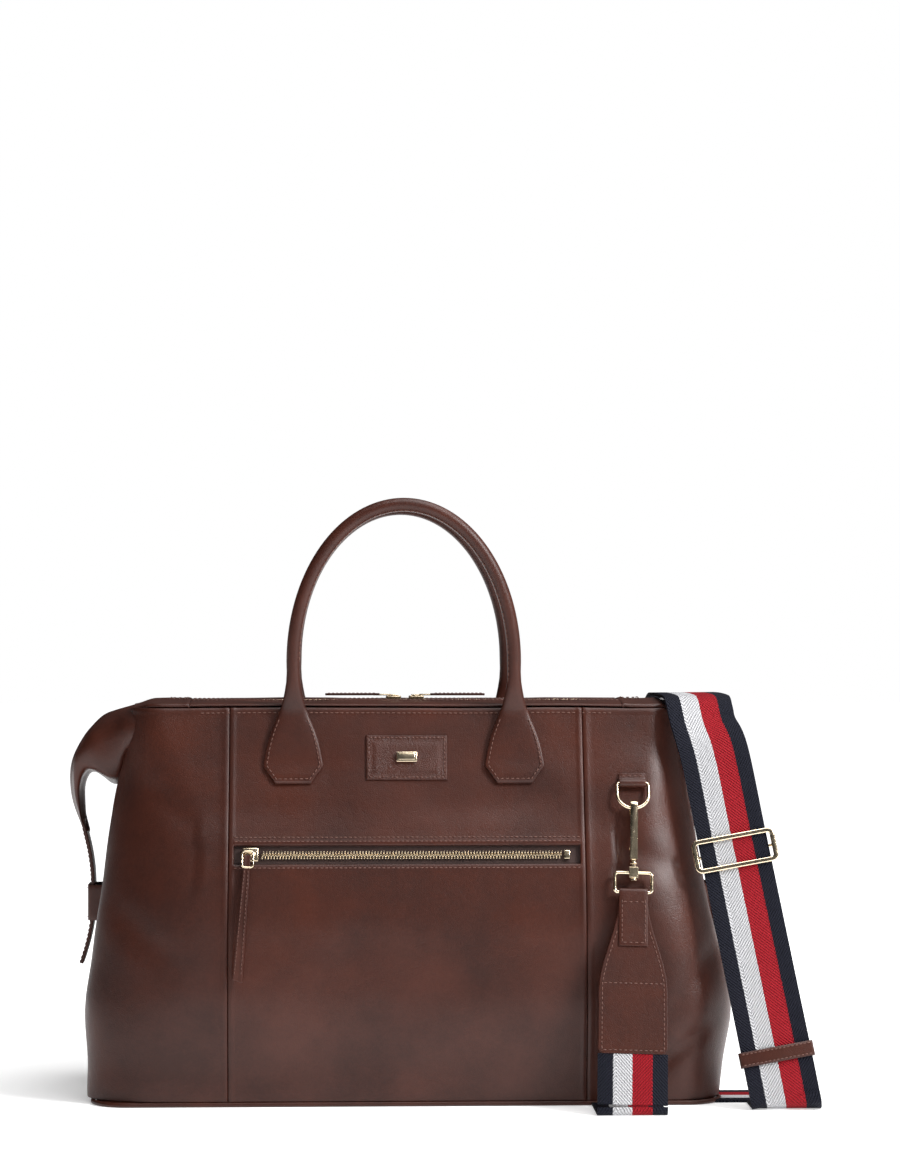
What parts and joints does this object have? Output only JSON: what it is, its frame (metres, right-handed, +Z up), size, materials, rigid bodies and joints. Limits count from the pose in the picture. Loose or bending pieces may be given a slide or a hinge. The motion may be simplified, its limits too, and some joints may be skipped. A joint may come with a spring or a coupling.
{
  "type": "weekender bag",
  "caption": "Soft leather weekender bag with rolled handles, zipped top and front pocket, and a clipped shoulder strap of striped webbing.",
  "frame": {"origin": "middle of the base panel's underside, on the surface the bag stands on", "axes": "+X along the bag to its right end, -Y towards the front with the pocket, +Z up"},
  "size_m": [0.576, 0.3265, 0.4642],
  "materials": {
    "brown_leather": "satin",
    "striped_webbing": "woven twill",
    "lining_cloth": "plain weave",
    "zip_tape": "woven tape",
    "board": "matte",
    "rope_core": "twisted rope",
    "pale_gold": "polished"
  },
  "bodies": {
    "root": {"front_centre_panel": "brown_leather", "front_left_panel": "brown_leather", "front_right_panel": "brown_leather", "rear_centre_panel": "brown_leather", "rear_left_panel": "brown_leather", "rear_right_panel": "brown_leather", "left_gusset": "brown_leather", "right_gusset": "brown_leather", "base_panel": "brown_leather", "base_piping": "brown_leather", "base_board": "board", "lining": "lining_cloth", "left_ear": "brown_leather", "right_ear": "brown_leather", "side_straps": "brown_leather", "keeper_loops": "brown_leather", "pocket_zip_tape": "zip_tape", "pocket_zip_teeth": "pale_gold", "pocket_bag": "lining_cloth", "patch": "brown_leather", "patch_bar": "pale_gold", "front_handle_tabs": "brown_leather", "rear_handle_tabs": "brown_leather", "front_ring_loop": "brown_leather", "rear_ring_loop": "brown_leather", "webbing_over_bag": "striped_webbing", "webbing_under_bag": "striped_webbing", "rear_d_ring": "pale_gold", "rear_snap_hook": "pale_gold"},
    "front_flap": {"front_zip_flap": "brown_leather", "front_zip_tape": "zip_tape", "front_zip_teeth": "pale_gold"},
    "rear_flap": {"rear_zip_flap": "brown_leather", "rear_zip_tape": "zip_tape", "rear_zip_teeth": "pale_gold"},
    "left_slider": {"left_zip_slider": "pale_gold"},
    "left_pull": {"left_zip_pull": "brown_leather"},
    "right_slider": {"right_zip_slider": "pale_gold"},
    "right_pull": {"right_zip_pull": "brown_leather"},
    "front_handle": {"front_handle": "brown_leather", "front_handle_core": "rope_core"},
    "rear_handle": {"rear_handle": "brown_leather", "rear_handle_core": "rope_core"},
    "pocket_slider": {"pocket_zip_slider": "pale_gold"},
    "pocket_pull": {"pocket_zip_bail": "pale_gold", "pocket_zip_pull": "brown_leather"},
    "strap_slider": {"strap_slider": "pale_gold"},
    "strap_keeper": {"strap_keeper": "brown_leather"},
    "front_ring": {"front_d_ring": "pale_gold"},
    "front_hook": {"front_snap_hook": "pale_gold"},
    "front_gate": {"front_hook_gate": "pale_gold"},
    "front_swivel": {"front_swivel_ring": "pale_gold"},
    "front_strap": {"front_neck_tab": "brown_leather", "front_strap_end": "brown_leather", "front_webbing": "striped_webbing"},
    "rear_gate": {"rear_hook_gate": "pale_gold"},
    "rear_swivel": {"rear_swivel_ring": "pale_gold", "rear_neck_tab": "brown_leather", "rear_strap_end": "brown_leather"}
  },
  "joints": [
    {"name": "front_flap_hinge", "type": "hinge", "parent": "root", "child": "front_flap", "pos_m": [0, -0.0507, 0.3044], "axis": [1, 0, 0], "range_deg": [0, 85]},
    {"name": "rear_flap_hinge", "type": "hinge", "parent": "root", "child": "rear_flap", "pos_m": [0, 0.0507, 0.3044], "axis": [-1, 0, 0], "range_deg": [0, 85]},
    {"name": "left_slider_slide", "type": "slide", "parent": "front_flap", "child": "left_slider", "axis": [-1, 0, 0], "range_m": [0, 0.148]},
    {"name": "right_slider_slide", "type": "slide", "parent": "front_flap", "child": "right_slider", "axis": [1, 0, 0], "range_m": [0, 0.148]},
    {"name": "left_pull_hinge", "type": "hinge", "parent": "left_slider", "child": "left_pull", "pos_m": [-0.011, -0.0042, 0.3107], "axis": [0, 1, 0], "range_deg": [0, 100]},
    {"name": "right_pull_hinge", "type": "hinge", "parent": "right_slider", "child": "right_pull", "pos_m": [0.011, -0.0042, 0.3107], "axis": [0, -1, 0], "range_deg": [0, 100]},
    {"name": "front_handle_hinge", "type": "hinge", "parent": "root", "child": "front_handle", "pos_m": [-0.002, -0.06, 0.303], "axis": [1, 0, 0], "range_deg": [-15, 140]},
    {"name": "rear_handle_hinge", "type": "hinge", "parent": "root", "child": "rear_handle", "pos_m": [-0.002, 0.06, 0.303], "axis": [-1, 0, 0], "range_deg": [-15, 140]},
    {"name": "pocket_slider_slide", "type": "slide", "parent": "root", "child": "pocket_slider", "axis": [1, 0, 0], "range_m": [0, 0.226]},
    {"name": "pocket_pull_hinge", "type": "hinge", "parent": "pocket_slider", "child": "pocket_pull", "pos_m": [-0.122, -0.09615, 0.19263], "axis": [0, 0.943, -0.3328], "range_deg": [-20, 20]},
    {"name": "front_ring_hinge", "type": "hinge", "parent": "root", "child": "front_ring", "pos_m": [0.174, -0.07659, 0.24443], "axis": [-1, 0, 0], "range_deg": [0, 100]},
    {"name": "front_hook_hinge", "type": "hinge", "parent": "front_ring", "child": "front_hook", "pos_m": [0.174, -0.08659, 0.22579], "axis": [-1, 0, 0], "range_deg": [0, 45]},
    {"name": "front_gate_hinge", "type": "hinge", "parent": "front_hook", "child": "front_gate", "pos_m": [0.17304, -0.09267, 0.19522], "axis": [0.9995, 0, -0.0314], "range_deg": [0, 9], "stiffness_Nm_per_rad": 0.02, "springref_deg": -11.46},
    {"name": "front_swivel_turn", "type": "hinge", "parent": "front_hook", "child": "front_swivel", "pos_m": [0.1725, -0.10162, 0.17813], "axis": [0.03, 0.3007, 0.9532], "range_deg": [-4, 4]},
    {"name": "front_strap_hinge", "type": "hinge", "parent": "front_swivel", "child": "front_strap", "pos_m": [0.17202, -0.10644, 0.16288], "axis": [-1, 0, 0], "range_deg": [0, 25]},
    {"name": "rear_gate_hinge", "type": "hinge", "parent": "root", "child": "rear_gate", "pos_m": [0.17304, 0.09267, 0.19522], "axis": [-0.9995, 0, 0.0314], "range_deg": [0, 9], "stiffness_Nm_per_rad": 0.02, "springref_deg": -11.46},
    {"name": "rear_swivel_turn", "type": "hinge", "parent": "root", "child": "rear_swivel", "pos_m": [0.1725, 0.10162, 0.17813], "axis": [0.03, -0.3007, 0.9532], "range_deg": [-4, 4]},
    {"name": "strap_slider_slide", "type": "slide", "parent": "root", "child": "strap_slider", "axis": [-0.1743, 0.2331, 0.9567], "range_m": [-0.05, 0.03]},
    {"name": "strap_keeper_slide", "type": "slide", "parent": "root", "child": "strap_keeper", "axis": [-0.1743, 0.2331, 0.9567], "range_m": [0, 0.06]}
  ],
  "couplings": [
    {"joint": "rear_flap_hinge", "follows": "front_flap_hinge", "ratio": 1},
    {"joint": "left_slider_slide", "follows": "front_flap_hinge", "m_per_rad": 0.099425},
    {"joint": "right_slider_slide", "follows": "front_flap_hinge", "m_per_rad": 0.099425}
  ]
}
